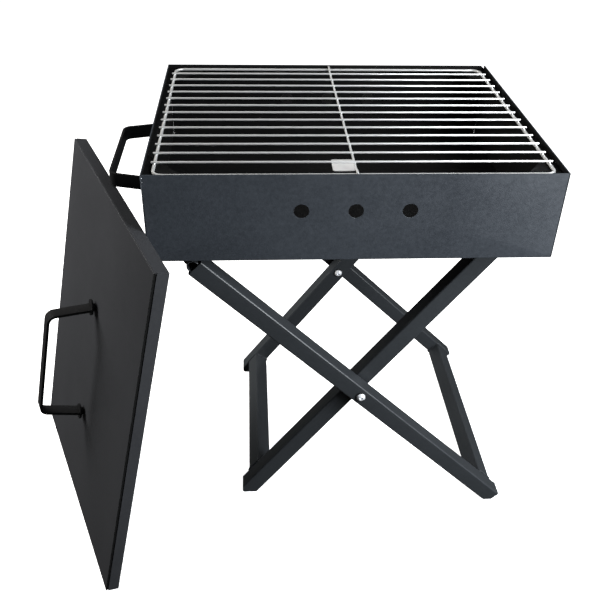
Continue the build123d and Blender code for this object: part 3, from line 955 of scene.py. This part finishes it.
# Leg plugs: ribbed plugs of moulded black plastic, pushed into the open ends of the leg tubes, two
# at the feet of the outer frame and four in the inner one.
plug_round = 0.0003
black_plastic = pebbled(
    "black_plastic",
    colour=(0.010, 0.010, 0.0105),
    speck=(0.03, 0.03, 0.03),
    specks=0.1,
    pebble=0.0005,
    height=0.3,
    roughness=0.55,
    unevenness=0.15,
)
for node, body in (
    ("outer_foot_plugs", "outer_frame"),
    ("inner_foot_plugs", "inner_frame"),
    ("inner_top_plugs", "inner_frame"),
):
    dress(copy_of(f"pushed_{node}", node, plug_round), body, "black_plastic", black_plastic, node)

# Inner leg frame: two square tubes inside the outer ones, with a square foot bar and a round top bar
# welded between them, coated like the outer frame.
for node in ("inner_leg_front", "inner_leg_rear", "inner_foot_bar", "inner_top_bar"):
    piece = copy_of(f"coated_{node}", node, tube_round)
    dress(piece, "inner_frame", "leg_coating", leg_coat, node)
inner_slope = radians(53.49243)
foot_x, foot_z, _, foot_ends = bar_middle("inner_foot_bar")
top_x, top_z, top_radius, _ = bar_middle("inner_top_bar")
lines = [square_line(foot_x, foot_z, y, inner_slope) for y in foot_ends]
lines += [ring_line(top_x, top_z, y, top_radius + bead_offset) for y in foot_ends]
weld("inner_frame_welds", lines, "inner_frame", "leg_coating", {**beads, "Seed": 5.0}, closed=True)

# Pivot bolts: zinc-plated M6 button-head bolts with a hex socket, one through the two legs on each
# side, with a washer under the head. Both go in from the front.
bolt_radius, bolt_point = 0.003, 0.0005
head_radius, head_height = 0.00525, 0.0033
socket_sides, socket_across, socket_depth = 6, 0.004, 0.002
bolt_round = 0.00015
bolt_steps = 48
bolt_zinc = metal(
    "bolt_zinc",
    colour=(0.85, 0.86, 0.88),
    dull=(0.55, 0.55, 0.56),
    dullness=0.4,
    roughness=0.3,
    stretch=(700.0, 700.0, 700.0),
    depth=0.06,
    metallic=0.3,
)
for node in ("pivot_bolt_front", "pivot_bolt_rear"):
    low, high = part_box(node)
    length = high.y - low.y - head_height
    profile = [(0, -length), (bolt_radius - bolt_point, -length), (bolt_radius, bolt_point - length)]
    profile += [(bolt_radius, 0)] + dome(head_radius, head_height)
    bolt = piece_from(f"set_{node}", turned(profile, bolt_steps))
    prism = bmesh.new()
    head_top = Matrix.Translation((0, 0, head_height))
    drum(prism, socket_sides, socket_across / sqrt(3), 2 * socket_depth, head_top)
    socket = piece_from("hex_socket", prism)
    cut = bolt.modifiers.new("socket", "BOOLEAN")
    cut.object = socket
    cut.solver = "EXACT"
    settle(bolt)
    bpy.data.objects.remove(socket)
    round_edges(bolt, bolt_round)
    place = Vector(((low.x + high.x) / 2, low.y + head_height, (low.z + high.z) / 2))
    bolt.data.transform(Matrix.Translation(place) @ Matrix.Rotation(pi / 2, 4, "X"))
    dress(bolt, "outer_frame", "bolt_zinc", bolt_zinc, node)

# Pivot spacers, washers and nuts: a plastic washer under each bolt's head, a plastic spacer between
# the two legs, and a blackened lock nut on each bolt's end.
fitting_round = 0.0002
black_oxide = metal(
    "black_oxide",
    colour=(0.035, 0.035, 0.037),
    dull=(0.015, 0.014, 0.013),
    dullness=0.7,
    roughness=0.4,
    stretch=(800.0, 800.0, 800.0),
    depth=0.1,
    metallic=0.7,
)
for node, slot, material in (
    ("pivot_washers", "black_plastic", black_plastic),
    ("pivot_spacers", "black_plastic", black_plastic),
    ("pivot_nuts", "blackened_steel", black_oxide),
):
    dress(copy_of(f"set_{node}", node, fitting_round), "outer_frame", slot, material, node)

# Wire grate: a bent and closed 3 mm frame wire, thirteen 2.2 mm cross wires on top of it whose tips
# stand out at both sides, and one centre wire under them. Spot welded, then plated bright.
frame_wire, cross_wire = 0.0030, 0.0022
grate_corner = 0.010
wire_sides = 16
wire_tip = 0.0004
cross_count = 13
centre_ramp, centre_bend = 0.012, 0.014
centre_steps = 5
nugget_size = (0.0013, 0.0016, 0.0010)
grate_low, grate_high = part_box("grate_frame")
centre_low, centre_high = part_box("grate_centre_wire")
first_low, first_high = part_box("grate_cross_wire_01")
last_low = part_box(f"grate_cross_wire_{cross_count:02d}")[0]
plated_wire = metal(
    "plated_wire",
    colour=(0.88, 0.88, 0.87),
    dull=(0.66, 0.65, 0.63),
    dullness=0.3,
    roughness=0.3,
    stretch=(300.0, 300.0, 300.0),
    depth=0.02,
    metallic=0.6,
)


def round_section(tree, given):
    """The section of a round wire."""
    circle = add(tree, "GeometryNodeCurvePrimitiveCircle", {"Resolution": wire_sides})
    link(tree, (given, "Wire radius", circle, "Radius"))
    return circle


wire_sizes = {"Bend radius": grate_corner, "Wire radius": frame_wire / 2}
bent_wire = bent_tree("bent wire", wire_sizes, round_section)
left, right = grate_low.x + frame_wire / 2, grate_high.x - frame_wire / 2
front, back = grate_low.y + frame_wire / 2, grate_high.y - frame_wire / 2
frame_z = (grate_low.z + grate_high.z) / 2
corners = [(left, front, frame_z), (right, front, frame_z), (right, back, frame_z), (left, back, frame_z)]
frame_loop = grow(path_piece("grate_frame_wire", corners, closed=True), bent_wire, {"Finish": plated_wire})
dress(frame_loop, "grate", "plated_wire", None, "grate_frame")

high_z = centre_high.z - cross_wire / 2
low_z = centre_low.z + cross_wire / 2
middle_x = (centre_low.x + centre_high.x) / 2
ramp = [front + frame_wire, front + frame_wire + centre_ramp]
ramp += [back - frame_wire - centre_ramp, back - frame_wire]
places = [(middle_x, centre_low.y, high_z), (middle_x, ramp[0], high_z), (middle_x, ramp[1], low_z)]
places += [(middle_x, ramp[2], low_z), (middle_x, ramp[3], high_z), (middle_x, centre_high.y, high_z)]
centre = {"Wire radius": cross_wire / 2, "Bend radius": centre_bend, "Bend steps": centre_steps}
centre_wire = grow(path_piece("grate_centre", places), bent_wire, {**centre, "Finish": plated_wire})
dress(round_edges(centre_wire, wire_tip), "grate", "plated_wire", None, "grate_centre_wire")

half = (first_high.x - first_low.x) / 2
radius = cross_wire / 2
ease = wire_tip * (1 - sqrt(0.5))
profile = [(0, -half), (radius - wire_tip, -half), (radius - ease, ease - half), (radius, wire_tip - half)]
profile += [(r, -z) for r, z in profile[::-1]]
wire = turned(profile, wire_sides)
first_middle = (first_low + first_high) / 2
lying = Matrix.Translation(first_middle) @ Matrix.Rotation(pi / 2, 4, "Y")
bmesh.ops.transform(wire, matrix=lying, verts=wire.verts)
cross_wires = piece_from("grate_cross_wires", wire)
cross_wires.data.shade_smooth()
pitch = (last_low.y - first_low.y) / (cross_count - 1)
grow(cross_wires, copies_in_rows, {"Count": cross_count, "Step": (0, pitch, 0), "Finish": plated_wire})
cross_names = [f"grate_cross_wire_{i + 1:02d}" for i in range(cross_count)]
dress(cross_wires, "grate", "plated_wire", None, *cross_names)


def nuggets(name, place, rows):
    """Spot-weld nuggets: small drops of steel between two crossing wires."""
    drop = bmesh.new()
    bmesh.ops.create_icosphere(drop, subdivisions=2, radius=1.0)
    stretch = Matrix.Diagonal((*nugget_size, 1))
    bmesh.ops.transform(drop, matrix=Matrix.Translation(place) @ stretch, verts=drop.verts)
    piece = piece_from(name, drop)
    piece.data.shade_smooth()
    grow(piece, copies_in_rows, {**rows, "Finish": plated_wire})
    dress(piece, "grate", "plated_wire", None)


rows = {"Count": cross_count, "Step": (0, pitch, 0), "Rows": 3, "Row step": ((right - left) / 2, 0, 0)}
nuggets("grate_cross_welds", (left, first_middle.y, grate_high.z), rows)
nuggets("grate_centre_welds", (middle_x, front, grate_high.z), {"Count": 2, "Step": (0, back - front, 0)})

# Blank tag: a small plate of bright sheet steel, spot welded under the front cross wire beside the
# centre wire. It is left bare.
tag_round = 0.00015
tag_steel = metal(
    "tag_steel",
    colour=(0.62, 0.61, 0.60),
    dull=(0.48, 0.47, 0.46),
    dullness=0.4,
    roughness=0.38,
    stretch=(60.0, 1500.0, 1500.0),
    depth=0.12,
    metallic=0.3,
)
dress(copy_of("plain_tag", "blank_tag", tag_round), "grate", "tag_steel", tag_steel, "blank_tag")

# Lid: a shallow pan folded from one sheet of 1.2 mm steel, coated inside and out. The walls of its
# two tall sides run its full height, with a shallow groove along their folds whose outer faces carry
# the near-black coat as painted shade. The short walls stand between them with open seams.
lid_turn, lid_lean = radians(22.06), radians(12.66)
lid_middle = Vector((-0.196083, -0.0489737, 0.20005))
lid_tall, lid_wide, lid_rim = 0.4036, 0.3236, 0.0144
lid_groove = (0.0028, 0.0008)
lid_side = Vector((cos(lid_turn), sin(lid_turn), 0))
lid_along = Vector((-sin(lid_turn), cos(lid_turn), 0))
lid_up = lid_side * sin(lid_lean) + Vector((0, 0, cos(lid_lean)))
lid_out = Vector((0, 0, sin(lid_lean))) - lid_side * cos(lid_lean)
lid_place = Matrix((lid_up, lid_along, lid_out)).transposed().to_4x4()
lid_place.translation = lid_middle
lid_coat = pebbled(
    "lid_coat",
    colour=(0.029, 0.030, 0.033),
    speck=(0.065, 0.065, 0.068),
    height=0.15,
    roughness=0.5,
    unevenness=0.2,
)
pan = folded_tray(lid_wide, lid_tall, lid_rim, groove=lid_groove)
face_down = Matrix(((0, 1, 0, 0), (1, 0, 0, 0), (0, 0, -1, 0), (0, 0, 0, 1)))
bmesh.ops.transform(pan, matrix=lid_place @ face_down, verts=pan.verts)
lid_pan = piece_from("lid_pan", pan)
# The third material, on the groove's faces, is the near-black coat that paints shade into the groove.
for material in (lid_coat, lid_coat, painted_shade_coat, lid_coat):
    lid_pan.data.materials.append(material)
round_edges(thicken(lid_pan, sheet))
dress(lid_pan, "lid", "lid_coating", None, "lid_shell")

# Lid handle: the same flat bar as the side handle, bent twice, with each foot on a thick black disc
# and a small nut. A screw from inside the lid holds each foot.
lid_foot_half, lid_grip_half, lid_reach = 0.0735, 0.066, 0.052
lid_shift = -0.0035
disc_radius, disc_low, disc_high = 0.009, 0.0037, 0.0057
lid_screw, screw_pitch = 0.0025, 0.144
screw_dome = (0.0045, 0.0022)
bore_gap = 0.00005
foot_round = 0.0003
shifted = lid_place @ Matrix.Translation((lid_shift, 0, 0))
lid_handle = handle(
    "bent_lid_handle", lid_foot_half, lid_grip_half, lid_reach, disc_high, shifted, handle_coat
)
dress(lid_handle, "lid", "handle_coating", handle_coat, "lid_handle")


def foot_pair(name, profile, node, closed=False):
    """A turned and blackened steel fitting at each foot of the lid's handle."""
    fitting = turned(profile, closed=closed)
    bmesh.ops.translate(fitting, verts=fitting.verts, vec=(-screw_pitch / 2, 0, 0))
    piece = piece_from(name, fitting)
    round_edges(piece, foot_round)
    grow(piece, copies_in_rows, {"Count": 2, "Step": (screw_pitch, 0, 0), "Finish": black_oxide})
    piece.data.transform(shifted)
    dress(piece, "lid", "blackened_steel", None, node)


bore = lid_screw + bore_gap
section = [(bore, disc_low), (disc_radius, disc_low), (disc_radius, disc_high), (bore, disc_high)]
foot_pair("foot_discs", section, "lid_handle_discs", closed=True)
section = dome(*screw_dome, base=-sheet, way=-1)[::-1]
section += [(lid_screw, -sheet), (lid_screw, disc_high), (0, disc_high)]
foot_pair("foot_screws", section, "lid_handle_screws")
foot_nuts = copy_of("foot_nuts", "lid_handle_nuts", fitting_round)
dress(foot_nuts, "lid", "blackened_steel", black_oxide, "lid_handle_nuts")

# Studio: a plain pale floor in a white room that sheds little light, with four soft lights: two near
# ones at the right front, one over the other, one at the left and a weak one far above on the right.
floor_half = 6.0
room_light = 0.035
floor_shape = bmesh.new()
bmesh.ops.create_grid(floor_shape, x_segments=1, y_segments=1, size=floor_half)
floor = piece_from("studio_floor", floor_shape, turn_out=False)
floor_paint = bpy.data.materials.new("floor_paint")
floor_paint.use_nodes = True
floor_shader = floor_paint.node_tree.nodes["Principled BSDF"]
floor_shader.inputs["Base Color"].default_value = (0.9, 0.9, 0.9, 1)
floor_shader.inputs["Roughness"].default_value = 0.9
floor_shader.inputs["Emission Color"].default_value = (1, 1, 1, 1)
floor_shader.inputs["Emission Strength"].default_value = 1.0
floor.data.materials.append(floor_paint)
floor.visible_diffuse = False
floor.visible_glossy = False

world = bpy.data.worlds.new("studio")
bpy.context.scene.world = world
world.use_nodes = True
room = world.node_tree
rays = add(room, "ShaderNodeLightPath")
room_strength = maths(room, "MULTIPLY_ADD", {1: 1 - room_light, 2: room_light})
background = room.nodes["Background"]
background.inputs["Color"].default_value = (1, 1, 1, 1)
link(
    room,
    (rays, "Is Camera Ray", room_strength, 0),
    (room_strength, 0, background, "Strength"),
)
bpy.context.scene.view_settings.view_transform = "Standard"


def soft_light(name, place, target, width, depth, power, colour, glossy=True):
    """A flat soft light that faces its target, with or without reflections of it."""
    data = bpy.data.lights.new(name, "AREA")
    data.shape = "RECTANGLE"
    data.size = width
    data.size_y = depth
    data.energy = power
    data.color = colour
    light = bpy.data.objects.new(name, data)
    light.visible_camera = False
    light.visible_glossy = glossy
    bpy.context.scene.collection.objects.link(light)
    facing = (Vector(target) - Vector(place)).to_track_quat("-Z", "Y").to_matrix().to_4x4()
    light.matrix_world = Matrix.Translation(place) @ facing


cool = (0.92, 0.96, 1.0)
front_panel = (0.15, -0.1, 0.35)
soft_light("right_light", (0.75, -0.62, 0.5), front_panel, 0.45, 0.45, 11.5, cool)
soft_light("high_light", (0.7, -0.5, 1.0), front_panel, 0.45, 0.45, 10.0, cool)
soft_light("left_light", (-1.05, 0.42, 0.85), (-0.25, -0.05, 0.3), 0.8, 0.8, 36.0, (1.0, 0.98, 0.94), False)
soft_light("top_light", (1.3, 0.1, 1.8), (0.0, 0, 0.3), 1.2, 1.2, 12.0, (1.0, 1.0, 1.0))

# Camera: at the photograph's angle, in front of the grill and above it, and very slightly rolled. Its
# focal length is given in pixels of a frame that is 600 wide.
focal_length, frame_width = 783.1142, 600
camera_place = Vector((-0.00867, -0.76175, 0.76246))
camera_turn = 0.07197
camera_dip = 0.59734
camera_roll = 0.02687
camera_data = bpy.data.cameras.new("camera")
camera_data.sensor_width = 36.0
camera_data.lens = focal_length / frame_width * camera_data.sensor_width
camera_data.clip_end = 50
camera = bpy.data.objects.new("camera", camera_data)
bpy.context.scene.collection.objects.link(camera)
camera.matrix_world = (
    Matrix.Translation(camera_place)
    @ Matrix.Rotation(-camera_turn, 4, "Z")
    @ Matrix.Rotation(pi / 2 - camera_dip, 4, "X")
    @ Matrix.Rotation(camera_roll, 4, "Z")
)
bpy.context.scene.camera = camera
